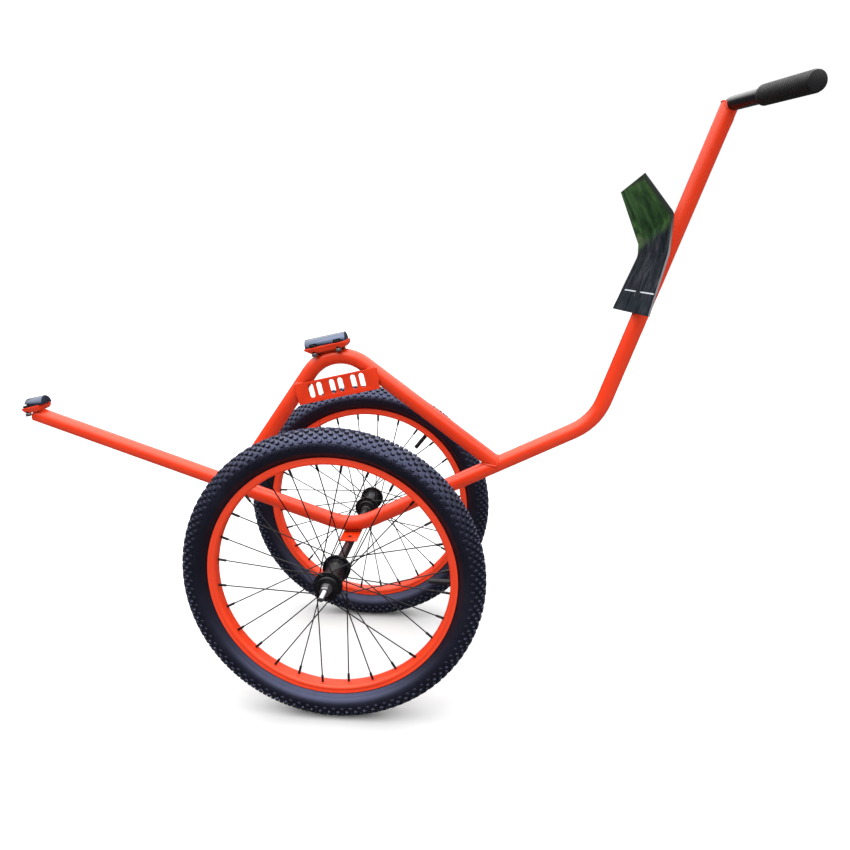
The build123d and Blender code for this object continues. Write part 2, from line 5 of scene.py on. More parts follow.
import bmesh
import bpy
import numpy as np
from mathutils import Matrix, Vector

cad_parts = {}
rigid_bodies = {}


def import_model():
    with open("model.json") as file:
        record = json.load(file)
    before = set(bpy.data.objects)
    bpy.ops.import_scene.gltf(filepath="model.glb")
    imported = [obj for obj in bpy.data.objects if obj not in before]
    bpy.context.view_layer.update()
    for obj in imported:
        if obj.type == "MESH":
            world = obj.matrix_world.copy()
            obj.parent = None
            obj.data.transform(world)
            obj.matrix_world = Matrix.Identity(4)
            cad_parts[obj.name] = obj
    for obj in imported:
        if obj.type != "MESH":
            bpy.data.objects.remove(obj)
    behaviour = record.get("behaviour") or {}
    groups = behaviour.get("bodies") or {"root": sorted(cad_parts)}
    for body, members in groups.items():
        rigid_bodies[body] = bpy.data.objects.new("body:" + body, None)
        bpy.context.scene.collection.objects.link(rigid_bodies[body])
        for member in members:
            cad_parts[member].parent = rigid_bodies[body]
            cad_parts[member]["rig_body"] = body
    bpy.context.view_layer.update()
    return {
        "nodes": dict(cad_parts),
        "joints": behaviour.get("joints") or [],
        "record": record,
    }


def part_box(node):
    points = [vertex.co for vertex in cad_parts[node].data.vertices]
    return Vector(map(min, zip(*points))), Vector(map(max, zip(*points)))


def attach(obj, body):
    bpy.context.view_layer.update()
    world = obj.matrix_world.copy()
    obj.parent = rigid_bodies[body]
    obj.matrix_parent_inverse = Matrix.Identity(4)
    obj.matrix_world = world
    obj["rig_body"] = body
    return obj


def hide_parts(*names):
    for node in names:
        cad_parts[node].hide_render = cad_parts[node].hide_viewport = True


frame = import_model()
MM = 0.001

# ---- places, from the frame ----------------------------------------------------------------
joint_spots = {joint["name"]: Vector(joint["pos_m"]) for joint in frame["joints"]}
LEFT_CENTRE = joint_spots["left_wheel_spin"]
RIGHT_CENTRE = joint_spots["right_wheel_spin"]
AXLE = (LEFT_CENTRE + RIGHT_CENTRE) / 2
SIDES = {"left": (1, LEFT_CENTRE), "right": (-1, RIGHT_CENTRE)}


def spot(x, z, y=0.0):
    """A point given in millimetres from the axle's centre."""
    return AXLE + Vector((x, y, z)) * MM


def millimetres(outline):
    """An outline of points in millimetres, in metres."""
    return [(a * MM, b * MM) for a, b in outline]


# ---- mesh makers ---------------------------------------------------------------------------
def grid_faces(rows, columns, join_rows=False, join_columns=False):
    """Quads over a grid of points numbered row by row."""
    faces = []
    for row in range(rows if join_rows else rows - 1):
        for column in range(columns if join_columns else columns - 1):
            below, beside = (row + 1) % rows, (column + 1) % columns
            faces.append((
                row * columns + column,
                row * columns + beside,
                below * columns + beside,
                below * columns + column,
            ))
    return faces


def axes_of(direction, side=None):
    """Two directions square to a direction and to each other."""
    along = Vector(direction).normalized()
    guess = Vector(side) if side else Vector((0, 0, 1) if abs(along.z) < 0.8 else (1, 0, 0))
    across = (guess - along * guess.dot(along)).normalized()
    return across, along.cross(across), along


def placed(points, origin, direction, side=None):
    """Points drawn round the Z axis, moved to an origin with Z along a direction."""
    across, up, along = axes_of(direction, side)
    turn = np.array([across, up, along])
    return np.asarray(points, float) @ turn + np.array(origin)


def lathe(outline, segments):
    """A closed ring: an outline of (radius, height) points, turned round the Z axis."""
    angles = np.linspace(0, tau, segments, endpoint=False)
    radii = np.array([point[0] for point in outline])
    heights = np.array([point[1] for point in outline])
    points = np.stack([
        np.outer(np.cos(angles), radii),
        np.outer(np.sin(angles), radii),
        np.tile(heights, (segments, 1)),
    ], axis=-1).reshape(-1, 3)
    return points, grid_faces(segments, len(outline), True, True)


def tapering(outline, start, end, sides=28):
    """A closed turned solid between two places: the outline is of (share of the way, radius)."""
    run = Vector(end) - Vector(start)
    points, rows = [], len(outline)
    for share, radius in outline:
        for corner in range(sides):
            turn = tau * corner / sides
            points.append((radius * cos(turn), radius * sin(turn), share * run.length))
    faces = grid_faces(rows, sides, False, True)
    faces.append(tuple(reversed(range(sides))))
    faces.append(tuple(range((rows - 1) * sides, rows * sides)))
    return placed(points, start, run), faces


BEAD_SIDES = 8
RIPPLE = 3.2 * MM  # pitch of a weld's ripples
RIPPLE_DEPTH = 0.1


def bead(route, radius, closed=False):
    """A rippled weld bead along a list of (place, outward direction) pairs."""
    places = [Vector(place) for place, _ in route]
    points, travelled, count = [], 0.0, len(route)
    for index, (place, outward) in enumerate(route):
        ahead = places[(index + 1) % count] if closed or index < count - 1 else places[index]
        behind = places[index - 1] if closed or index else places[index]
        across, up, _ = axes_of(ahead - behind, outward)
        travelled += (places[index] - places[index - 1]).length if index else 0.0
        swell = 1 + RIPPLE_DEPTH * sin(tau * travelled / RIPPLE)
        if not closed and index in (0, count - 1):
            swell = 0.35
        for corner in range(BEAD_SIDES):
            turn = tau * corner / BEAD_SIDES
            points.append(Vector(place) + (across * cos(turn) + up * sin(turn)) * radius * swell)
    faces = grid_faces(count, BEAD_SIDES, closed, True)
    if not closed:
        faces.append(tuple(reversed(range(BEAD_SIDES))))
        faces.append(tuple(range((count - 1) * BEAD_SIDES, count * BEAD_SIDES)))
    return np.array([tuple(point) for point in points]), faces


def straight(start, end, outward, step=0.8 * MM):
    """A straight route for a bead."""
    start, end = Vector(start), Vector(end)
    count = max(3, round((end - start).length / step))
    return [(start.lerp(end, index / (count - 1)), outward) for index in range(count)]


def line_of(node):
    """The two end places on the centre line of a long straight CAD node."""
    mesh = frame["nodes"][node]
    cloud = np.array([tuple(mesh.matrix_world @ vertex.co) for vertex in mesh.data.vertices])
    middle = (cloud.min(axis=0) + cloud.max(axis=0)) / 2
    along = np.linalg.svd(cloud - cloud.mean(axis=0), full_matrices=False)[2][0]
    reach = (cloud - middle) @ along
    if along[1] * middle[1] < 0:
        along, reach = -along, -reach
    return Vector(middle + along * reach.min()), Vector(middle + along * reach.max())


def join(parts):
    """One list of points and one of faces from several such pairs."""
    points, faces, start = [], [], 0
    for part_points, part_faces in parts:
        points.append(np.asarray(part_points, float).reshape(-1, 3))
        faces += [tuple(index + start for index in face) for face in part_faces]
        start += len(part_points)
    return np.concatenate(points), faces


def piece_of(name, points, faces, material, body, stands_for=(), crease=35):
    """A piece with one material that rides on a body, and may stand for CAD nodes."""
    mesh = bpy.data.meshes.new(name)
    mesh.from_pydata([tuple(point) for point in points], [], faces)
    work = bmesh.new()
    work.from_mesh(mesh)
    bmesh.ops.recalc_face_normals(work, faces=work.faces)
    work.to_mesh(mesh)
    work.free()
    mesh.shade_smooth()
    mesh.set_sharp_from_angle(angle=radians(crease))
    mesh.materials.append(material)
    piece = bpy.data.objects.new(name, mesh)
    bpy.context.scene.collection.objects.link(piece)
    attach(piece, body)
    if stands_for:
        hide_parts(*stands_for)
    return piece


def softened(node, width, material, segments=2, crease=30):
    """A copy of a CAD node with its sharp edges rounded, which stands for the node."""
    source = frame["nodes"][node]
    mesh = source.data.copy()
    work = bmesh.new()
    work.from_mesh(mesh)
    bmesh.ops.remove_doubles(work, verts=work.verts, dist=1e-6)
    bmesh.ops.dissolve_limit(
        work, angle_limit=radians(0.4), verts=work.verts, edges=work.edges, delimit={"NORMAL"}
    )
    edges = [edge for edge in work.edges if edge.is_manifold and edge.calc_face_angle() > radians(crease)]
    bmesh.ops.bevel(
        work, geom=edges, offset=width, offset_type="OFFSET", segments=segments, profile=0.5,
        affect="EDGES", clamp_overlap=True,
    )
    work.to_mesh(mesh)
    work.free()
    mesh.shade_smooth()
    mesh.set_sharp_from_angle(angle=radians(crease))
    mesh.materials.clear()
    mesh.materials.append(material)
    piece = bpy.data.objects.new(f"{node}_shown", mesh)
    bpy.context.scene.collection.objects.link(piece)
    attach(piece, source["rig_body"])
    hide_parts(node)
    return piece


CAD_SLOTS = {entry["node"]: entry["material_slot"] for entry in frame["record"]["subparts"]}


# ---- materials -----------------------------------------------------------------------------
class Paint:
    """A material under construction: its node tree, its main shader and short ways to add nodes.

    Extra sockets of the shader are given by keyword, with an underscore for each space in the name.
    """

    def __init__(self, name, colour, roughness, **sockets):
        self.material = bpy.data.materials.new(name)
        self.material.use_nodes = True
        self.tree = self.material.node_tree
        self.shader = self.tree.nodes["Principled BSDF"]
        self.shader.inputs["Base Color"].default_value = (*colour, 1)
        self.shader.inputs["Roughness"].default_value = roughness
        for socket, value in sockets.items():
            self.shader.inputs[socket.replace("_", " ")].default_value = value
        self.place = self.add("ShaderNodeTexCoord").outputs["Object"]
        self.height = None

    def add(self, kind, **settings):
        node = self.tree.nodes.new(kind)
        for key, value in settings.items():
            setattr(node, key, value)
        return node

    def link(self, source, target):
        self.tree.links.new(source, target)

    def stretched(self, scale):
        """The object's own coordinates, scaled along each axis."""
        mapping = self.add("ShaderNodeMapping")
        mapping.inputs["Scale"].default_value = scale
        self.link(self.place, mapping.inputs["Vector"])
        return mapping.outputs["Vector"]

    def noise(self, scale, detail=3.0, rough=0.5, distortion=0.0, place=None):
        texture = self.add("ShaderNodeTexNoise")
        texture.inputs["Scale"].default_value = scale
        texture.inputs["Detail"].default_value = detail
        texture.inputs["Roughness"].default_value = rough
        texture.inputs["Distortion"].default_value = distortion
        self.link(place or self.place, texture.inputs["Vector"])
        return texture.outputs["Fac"]

    def ramp(self, source, stops):
        """A colour or grey ramp; each stop is (place, colour)."""
        band = self.add("ShaderNodeValToRGB")
        while len(band.color_ramp.elements) < len(stops):
            band.color_ramp.elements.new(0.5)
        for element, (where, colour) in zip(band.color_ramp.elements, stops):
            element.position = where
            element.color = (*colour, 1) if len(colour) == 3 else colour
        self.link(source, band.inputs["Fac"])
        return band.outputs["Color"]

    def span(self, source, low, high, from_low=0.0, from_high=1.0):
        """A value moved from one range to another, and kept inside it."""
        change = self.add("ShaderNodeMapRange")
        change.inputs["From Min"].default_value = from_low
        change.inputs["From Max"].default_value = from_high
        change.inputs["To Min"].default_value = low
        change.inputs["To Max"].default_value = high
        self.link(source, change.inputs["Value"])
        return change.outputs["Result"]

    def mix(self, factor, first, second, blend="MIX"):
        """Two colours mixed; each may be a colour or a socket."""
        blender = self.add("ShaderNodeMix", data_type="RGBA", blend_type=blend)
        for socket, value in ((0, factor), (6, first), (7, second)):
            if isinstance(value, (int, float)):
                blender.inputs[socket].default_value = value
            elif isinstance(value, tuple):
                blender.inputs[socket].default_value = (*value, 1)
            else:
                self.link(value, blender.inputs[socket])
        return blender.outputs[2]

    def math(self, operation, first, second=0.0):
        """A sum done on one or two values; each may be a number or a socket."""
        sum_node = self.add("ShaderNodeMath", operation=operation)
        for index, value in enumerate((first, second)):
            if isinstance(value, (int, float)):
                sum_node.inputs[index].default_value = value
            else:
                self.link(value, sum_node.inputs[index])
        return sum_node.outputs[0]

    def colour(self, source):
        self.link(source, self.shader.inputs["Base Color"])

    def rough(self, source, low, high):
        self.link(self.span(source, low, high), self.shader.inputs["Roughness"])

    def bump(self, source, depth, strength=1.0):
        """Add a bump of a depth in metres on top of those already there."""
        bump = self.add("ShaderNodeBump")
        bump.inputs["Strength"].default_value = strength
        bump.inputs["Distance"].default_value = depth
        self.link(source, bump.inputs["Height"])
        if self.height:
            self.link(self.height, bump.inputs["Normal"])
        self.height = bump.outputs["Normal"]
        self.link(self.height, self.shader.inputs["Normal"])


def powder_coat(name, colour, deep, roughness=0.34):
    """Powder coat: orange peel, slight clouding, and painted shade that darkens its corners and joins."""
    paint = Paint(name, colour, roughness, Specular_IOR_Level=0.42, Specular_Tint=(1.0, 0.93, 0.80, 1))
    clouds = paint.noise(14.0, 4.0)
    # painted shade: ambient occlusion darkens the colour in corners, creases and joins, where shade falls
    corners = paint.add("ShaderNodeAmbientOcclusion", samples=4)
    corners.inputs["Distance"].default_value = 0.012
    shade = paint.mix(paint.span(clouds, 0.0, 0.6, 0.35, 0.75), colour, deep)
    painted_corner_shade = paint.span(corners.outputs["AO"], 0.8, 0.0, 0.2, 0.75)
    paint.colour(paint.mix(painted_corner_shade, shade, tuple(part * 0.35 for part in deep)))
    paint.rough(paint.noise(60.0, 3.0), roughness - 0.07, roughness + 0.1)
    paint.bump(paint.noise(900.0, 2.0), 0.00006)
    paint.bump(paint.noise(160.0, 2.0), 0.00012, 0.5)
    return paint.material


def black_enamel(name, roughness=0.28):
    """Black paint or plating with faint clouding and a fine skin."""
    paint = Paint(name, (0.006, 0.006, 0.008), roughness, Specular_IOR_Level=0.28)
    clouds = paint.noise(45.0, 4.0)
    paint.colour(paint.ramp(clouds, [(0.3, (0.0015, 0.0015, 0.0025)), (0.75, (0.004, 0.004, 0.006))]))
    paint.rough(paint.noise(120.0), roughness - 0.08, roughness + 0.14)
    paint.bump(paint.noise(1100.0, 2.0), 0.00005)
    return paint.material


def tyre_rubber():
    """Black tread rubber with a faint blue bloom, fine moulding grain and a little scuffing."""
    paint = Paint(
        "tyre_rubber", (0.005, 0.005, 0.008), 0.42,
        Specular_IOR_Level=0.75, Specular_Tint=(0.56, 0.60, 1.0, 1),
    )
    bloom = paint.ramp(
        paint.noise(9.0, 5.0, 0.6),
        [(0.3, (0.001, 0.001, 0.002)), (0.55, (0.002, 0.002, 0.004)), (0.8, (0.005, 0.005, 0.009))],
    )
    scuffs = paint.span(paint.noise(38.0, 6.0, 0.7), 0.0, 0.35, 0.58, 0.78)
    paint.colour(paint.mix(scuffs, bloom, (0.014, 0.013, 0.017)))
    paint.rough(paint.noise(70.0, 4.0), 0.34, 0.52)
    paint.bump(paint.noise(1500.0, 2.0), 0.00008)
    paint.bump(paint.noise(240.0, 3.0), 0.0002, 0.5)
    return paint.material


def plain_rubber(name, colour, roughness):
    """Rubber or plastic of one colour, mottled and finely grained."""
    paint = Paint(name, colour, roughness, Specular_IOR_Level=0.35)
    paler = tuple(part * 2.2 for part in colour)
    paint.colour(paint.ramp(paint.noise(30.0, 4.0), [(0.3, colour), (0.8, paler)]))
    paint.rough(paint.noise(90.0), roughness - 0.1, roughness + 0.12)
    paint.bump(paint.noise(1300.0, 2.0), 0.0001)
    return paint.material


def bare_steel(name, colour, roughness, grain):
    """Turned or plated steel with fine marks; grain stretches the marks along one axis."""
    paint = Paint(name, colour, roughness, Metallic=1.0)
    marks = paint.noise(1.0, 4.0, 0.6, place=paint.stretched(grain))
    tint = paint.noise(35.0, 3.0)
    paint.colour(paint.ramp(tint, [(0.3, tuple(part * 0.72 for part in colour)), (0.7, colour)]))
    paint.rough(marks, roughness - 0.1, roughness + 0.15)
    paint.bump(marks, 0.00004)
    return paint.material


def moulded_gloss(name, colour, roughness):
    """Glossy moulded rubber with a bluish sheen."""
    paint = Paint(name, colour, roughness, Specular_IOR_Level=1.0, Specular_Tint=(0.58, 0.70, 1.0, 1))
    paler = tuple(part * 1.7 for part in colour)
    paint.colour(paint.ramp(paint.noise(25.0, 3.0), [(0.3, colour), (0.8, paler)]))
    paint.rough(paint.noise(80.0, 4.0), roughness - 0.06, roughness + 0.12)
    paint.bump(paint.noise(700.0, 2.0), 0.00005)
    return paint.material


STREAK_RISE = 458.0  # painted glint: a thin light line of two dashes across the sheet's lower panel
STREAK_SLOPE = -0.02
DASHES = 2.0
DASH_SHIFT = -0.05
FOLD_RISE = 0.47  # share of the sheet's height at its fold


def back_sheet_painted_reflections():
    """Sheet with painted reflections: mottled green above a skewed line and dark blue-grey below it.

    Its upper panel has a dark grey border; its lower panel has a painted glint of two light dashes, and a
    painted pale highlight on its cut edge.
    """
    # the sheet is made nearly unreflective; its reflections of green ground and of dark surroundings are
    # painted into its colour instead
    paint = Paint("back_sheet_painted_reflections", (0.02, 0.03, 0.03), 0.3, Specular_IOR_Level=0.01)
    low, high = (Vector(corner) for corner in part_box("back_plate"))
    split = paint.add("ShaderNodeSeparateXYZ")
    paint.link(paint.place, split.inputs["Vector"])
    rise = paint.span(split.outputs["Z"], 0.0, 1.0, low.z, high.z)
    side = paint.span(split.outputs["Y"], 0.0, 1.0, low.y, high.y)
    wave = paint.noise(11.0, 3.0, 0.55, 0.6)
    edge = paint.math("ADD", paint.math("MULTIPLY", side, 0.23), rise)
    edge = paint.math("ADD", edge, paint.math("MULTIPLY", wave, 0.22))
    is_green = paint.span(edge, 0.0, 1.0, 0.79, 0.86)
    # painted reflection: mottled green on the upper panel and dark blue-grey on the lower panel
    painted_green_reflection = paint.ramp(
        paint.noise(16.0, 5.0, 0.6, 0.8),
        [
            (0.30, (0.004, 0.012, 0.005)), (0.45, (0.014, 0.042, 0.014)),
            (0.58, (0.036, 0.088, 0.024)), (0.75, (0.09, 0.12, 0.06)),
        ],
    )
    painted_dark_reflection = paint.ramp(
        paint.noise(24.0, 6.0, 0.7, 1.2, paint.stretched((1, 2.2, 0.8))),
        [
            (0.34, (0.002, 0.003, 0.004)), (0.48, (0.009, 0.012, 0.016)),
            (0.60, (0.026, 0.029, 0.037)), (0.74, (0.052, 0.040, 0.044)),
        ],
    )
    facing = paint.add("ShaderNodeSeparateXYZ")
    paint.link(paint.add("ShaderNodeTexCoord").outputs["Normal"], facing.inputs["Vector"])
    is_edge = paint.span(paint.math("ABSOLUTE", facing.outputs["Y"]), 0.0, 1.0, 0.6, 0.8)
    # painted glint: two light dashes standing for a bright reflected line
    level = paint.math("SUBTRACT", split.outputs["Z"], paint.math("MULTIPLY", split.outputs["Y"], STREAK_SLOPE))
    off_line = paint.math("ABSOLUTE", paint.math("SUBTRACT", level, spot(0, STREAK_RISE).z))
    on_line = paint.span(off_line, 1.0, 0.0, 0.0006, 0.0013)
    place_in_dash = paint.math("FRACT", paint.math("ADD", paint.math("MULTIPLY", side, DASHES), DASH_SHIFT))
    painted_glint_line = paint.math("MULTIPLY", on_line, paint.span(place_in_dash, 1.0, 0.0, 0.70, 0.74))
    sheet = paint.mix(painted_glint_line, paint.mix(is_green, painted_dark_reflection, painted_green_reflection), (0.42, 0.44, 0.48))
    top_border = paint.span(rise, 0.0, 1.0, 0.955, 0.97)
    near_border = paint.span(side, 1.0, 0.0, 0.05, 0.07)
    above_fold = paint.span(rise, 0.0, 0.8, FOLD_RISE, FOLD_RISE + 0.1)
    border = paint.math("MULTIPLY", paint.math("MAXIMUM", top_border, near_border), above_fold)
    sheet = paint.mix(border, sheet, (0.022, 0.026, 0.024))
    # painted highlight: the sheet's cut edge is pale below the fold, as if catching light, and dark above it
    below_fold = paint.span(rise, 1.0, 0.0, FOLD_RISE, FOLD_RISE + 0.25)
    edge_painted_highlight = paint.mix(below_fold, (0.02, 0.022, 0.024), (0.16, 0.16, 0.17))
    paint.colour(paint.mix(is_edge, sheet, edge_painted_highlight))
    paint.rough(paint.noise(30.0, 3.0), 0.24, 0.4)
    paint.bump(paint.noise(500.0, 2.0), 0.00003)
    return paint.material


ORANGE = (0.50, 0.021, 0.0004)
DEEP_ORANGE = (0.44, 0.016, 0.0002)
frame_paint = powder_coat("frame_paint", ORANGE, DEEP_ORANGE)
rim_paint = powder_coat("rim_paint", (0.57, 0.027, 0.002), (0.50, 0.021, 0.001), 0.38)
black_paint = black_enamel("black_paint")
hub_black = black_enamel("hub_black", 0.36)
spoke_black = black_enamel("spoke_black", 0.32)
black_fasteners = black_enamel("black_fasteners", 0.4)
zinc_fasteners = bare_steel("zinc_fasteners", (0.34, 0.34, 0.35), 0.32, (400, 400, 400))
axle_steel = bare_steel("axle_steel", (0.30, 0.30, 0.32), 0.3, (60, 900, 60))
bearing_steel = bare_steel("bearing_steel", (0.28, 0.28, 0.29), 0.25, (300, 900, 300))
valve_rubber = plain_rubber("valve_rubber", (0.003, 0.003, 0.004), 0.45)
rest_gloss = moulded_gloss("rest_rubber", (0.004, 0.004, 0.009), 0.24)
tread = tyre_rubber()
grip_rubber = plain_rubber("grip_rubber", (0.003, 0.003, 0.0035), 0.6)
tube_rubber = plain_rubber("tube_rubber", (0.006, 0.006, 0.006), 0.55)
tape_cloth = plain_rubber("tape", (0.006, 0.006, 0.007), 0.7)
black_plastic = plain_rubber("black_plastic", (0.003, 0.003, 0.004), 0.42)
back_gloss = back_sheet_painted_reflections()

SLOT_MATERIALS = {
    "frame_paint": frame_paint, "rim_paint": rim_paint, "black_paint": black_paint,
    "hub_black": hub_black, "spoke_black": spoke_black, "black_fasteners": black_fasteners,
    "zinc_fasteners": zinc_fasteners, "axle_steel": axle_steel, "bearing_steel": bearing_steel,
    "valve_rubber": valve_rubber, "rest_rubber": rest_gloss, "tyre_rubber": tread,
    "grip_rubber": grip_rubber, "tube_rubber": tube_rubber, "tape": tape_cloth,
    "black_plastic": black_plastic, "back_plate_gloss": back_gloss,
}
for node_name, node in frame["nodes"].items():
    for slot_index in range(len(node.material_slots)):
        node.material_slots[slot_index].material = SLOT_MATERIALS[CAD_SLOTS[node_name]]


# ---- tyres ---------------------------------------------------------------------------------
TREAD_CENTRE_R = 221.5 * MM  # centre of the tread's round section
TREAD_ROUND = 32.9 * MM
KNOB_HEIGHT = 3.7 * MM
KNOBS_ROUND = 98
KNOB_ROWS = (-41.0, -28.5, -14.5, 0.0, 14.5, 28.5, 41.0)  # degrees round the section
SHOULDER, WIDEST, LOW_WALL = (243.7, 19.1), (229, 26.8), (214.4, 17.0)  # (radius, height) of the sidewall
SIDE_ROWS = ((6.7, 0.8), (13.4, 0.5))  # way down the sidewall from its shoulder, share of a knob's height
WALL_STEPS = 60
TREAD_FOOT_R = 214 * MM  # outside this radius the section is narrowed, so its knobs end at the CAD tyre
NARROWING = 0.942
KNOB_PROFILE = ((4.6, -1.0), (4.0, 0.0), (3.7, 3.0), (3.2, 3.65), (2.2, 3.72))
KNOB_SIDES = 8
KNOB_FLATTENING = 0.94
RING_STEPS = 192


def arc(start, through, end, count):
    """Points on the arc through three points, without its last point."""
    (ax, ay), (bx, by), (cx, cy) = start, through, end
    d = 2 * (ax * (by - cy) + bx * (cy - ay) + cx * (ay - by))
    ux = ((ax**2 + ay**2) * (by - cy) + (bx**2 + by**2) * (cy - ay) + (cx**2 + cy**2) * (ay - by)) / d
    uy = ((ax**2 + ay**2) * (cx - bx) + (bx**2 + by**2) * (ax - cx) + (cx**2 + cy**2) * (bx - ax)) / d
    radius = sqrt((ax - ux)**2 + (ay - uy)**2)
    first, middle, last = (atan2(y - uy, x - ux) for x, y in (start, through, end))
    turn = (last - first) % tau
    if (middle - first) % tau > turn:
        turn -= tau
    return [
        (ux + radius * cos(first + turn * k / count), uy + radius * sin(first + turn * k / count))
        for k in range(count)
    ]


def both_sides(half):
    """A half outline from one side's edge to the middle, and its mirror image."""
    return half + [(radius, -height) for radius, height in reversed(half[:-1])]


def tyre_shell():
    """The tyre's casing without its knobs: a closed section turned round the axle."""
    outside = [(200.8, 10.9), (208.2, 10.9), (209.8, 11.6), (211.0, 13.4), (212.2, 14.4), (213.4, 15.2)]
    outside += arc(LOW_WALL, WIDEST, SHOULDER, 14)
    outside += arc(SHOULDER, (248.9, 10.6), (250.8, 0), 8) + [(250.8, 0)]
    inside = [(200.8, 7.3), (209.8, 7.3)] + arc((209.8, 7.4), (229, 23.2), (241.5, 16.4), 10)
    inside += arc((241.5, 16.4), (245.6, 9.0), (247.2, 0), 6) + [(247.2, 0)]
    outline = both_sides(outside) + list(reversed(both_sides(inside)))
    return lathe(millimetres(outline), RING_STEPS)


def inner_tube_ring():
    """The inflated inner tube, just inside the casing and down between its beads."""
    half = [(200.0, 5.4), (201.2, 6.7), (209.6, 6.7)] + arc((209.6, 6.8), (229, 21.2), (240.6, 14.9), 10)
    half += arc((240.6, 14.9), (244.8, 8.2), (246.5, 0), 6) + [(246.5, 0)]
    return lathe(millimetres(both_sides(half)), RING_STEPS)


def knob_shape():
    """One knob, standing on the XY plane, closed at its foot."""
    points = []
    for radius, height in KNOB_PROFILE:
        for corner in range(KNOB_SIDES):
            turn = tau * (corner + 0.5) / KNOB_SIDES
            points.append((radius * cos(turn) * MM, radius * KNOB_FLATTENING * sin(turn) * MM, height * MM))
    faces = grid_faces(len(KNOB_PROFILE), KNOB_SIDES, False, True)
    last = (len(KNOB_PROFILE) - 1) * KNOB_SIDES
    faces.append(tuple(range(last, last + KNOB_SIDES)))
    faces.append(tuple(reversed(range(KNOB_SIDES))))
    return np.array(points), faces


def knob_rows():
    """Every row of knobs, from side to side: (radius, height, lean, share of a knob's height)."""
    base = TREAD_ROUND - KNOB_HEIGHT
    tread_rows = [
        (TREAD_CENTRE_R + base * cos(lean), base * sin(lean), lean, 1.0) for lean in map(radians, KNOB_ROWS)
    ]
    wall = arc(SHOULDER, WIDEST, LOW_WALL, WALL_STEPS)
    step = Vector(wall[0] + (0,)) - Vector(wall[1] + (0,))
    side_rows = []
    for way, share in SIDE_ROWS:
        index = round(way / step.length)
        above, below = wall[index - 1], wall[index + 1]
        lean = atan2(above[0] - below[0], below[1] - above[1])
        side_rows.append((wall[index][0] * MM, wall[index][1] * MM, lean, share))
    far_side = [(radius, -height, -lean, share) for radius, height, lean, share in reversed(side_rows)]
    return far_side + tread_rows + side_rows


def knobs():
    """All the knobs of one tyre, alternate rows half a pitch apart."""
    shape, faces = knob_shape()
    parts = []
    for row, (outward, sideways, lean, share) in enumerate(knob_rows()):
        knob = shape * (1, 1, share)
        for index in range(KNOBS_ROUND):
            turn = tau * (index + 0.5 * (row % 2)) / KNOBS_ROUND
            radial = Vector((cos(turn), sin(turn), 0))
            normal = radial * cos(lean) + Vector((0, 0, sin(lean)))
            round_way = Vector((-sin(turn), cos(turn), 0))
            foot = radial * outward + Vector((0, 0, sideways))
            parts.append((placed(knob, foot, normal, round_way), faces))
    return join(parts)


tyre_points, tyre_faces = join([tyre_shell(), knobs()])
in_tread = np.hypot(tyre_points[:, 0], tyre_points[:, 1]) > TREAD_FOOT_R
tyre_points[in_tread, 2] *= NARROWING
tube_points, tube_faces = inner_tube_ring()
for side_name, (side, centre) in SIDES.items():
    piece_of(
        f"{side_name}_knobbed_tyre", placed(tyre_points, centre, (0, side, 0)), tyre_faces,
        tread, f"{side_name}_wheel", [f"{side_name}_tyre"], crease=30,
    )
    piece_of(
        f"{side_name}_fitted_inner_tube", placed(tube_points, centre, (0, side, 0)), tube_faces,
        tube_rubber, f"{side_name}_wheel", [f"{side_name}_inner_tube"],
    )


# ---- rims ------------------------------------------------------------------------------------
def rim_ring():
    """The rim's hollow section with rolled edges and a shallow track round each side."""
    outside = [
        (208.4, 11.2), (209.0, 11.7), (209.0, 12.5), (208.5, 13.0), (206.8, 13.0), (206.5, 12.8), (202.0, 12.8),
        (201.7, 13.0), (200.0, 13.0), (199.0, 12.6), (196.7, 10.0), (196.1, 8.8), (196.0, 7.5), (196.0, 0),
    ]
    inside = [(207.6, 11.2), (199.8, 11.2), (198.4, 9.4), (198.0, 8.6), (198.0, 0)]
    return lathe(millimetres(both_sides(outside) + list(reversed(both_sides(inside)))), RING_STEPS)


rim_points, rim_faces = rim_ring()
for side_name, (side, centre) in SIDES.items():
    piece_of(
        f"{side_name}_rolled_rim", placed(rim_points, centre, (0, side, 0)), rim_faces,
        rim_paint, f"{side_name}_wheel", [f"{side_name}_rim"], crease=40,
    )

# ---- CAD pieces shown with rounded edges -----------------------------------------------------
SOFT_EDGES = {  # width of the rounding, in millimetres
    "top_saddle": 0.8, "tip_saddle": 0.8, "top_rest_block": 0.9, "tip_rest_block": 0.9,
    "brace_plate": 0.5, "axle_plate": 0.5, "back_plate": 0.7, "back_plate_pad": 0.6,
    "top_saddle_bolts": 0.4, "tip_saddle_bolts": 0.4, "top_saddle_nuts": 0.4, "tip_saddle_nuts": 0.4,
    "back_plate_screws": 0.25, "handlebar_end_plugs": 0.8,
}
for side_name in SIDES:
    for piece_name, width in (
        ("hub_shell", 0.5), ("axle_nuts", 0.5), ("axle_washers", 0.25), ("axle_spacers", 0.25),
        ("hub_dust_caps", 0.2), ("valve_cap", 0.5),
    ):
        SOFT_EDGES[f"{side_name}_{piece_name}"] = width
for node_name, width in SOFT_EDGES.items():
    softened(node_name, width * MM, SLOT_MATERIALS[CAD_SLOTS[node_name]])

# ---- welds -----------------------------------------------------------------------------------
TUBE_R = 14.0 * MM
BAR_R = 11.1 * MM
WELD_R = 2.1 * MM
BED_TILT = radians(12.8)
HANDLE_RISE = radians(70.7)
HUMP_BEND = 70.0 * MM
COPE_STEPS = 150
MITRE_STEPS = 80
MITRE_REACH = radians(62)

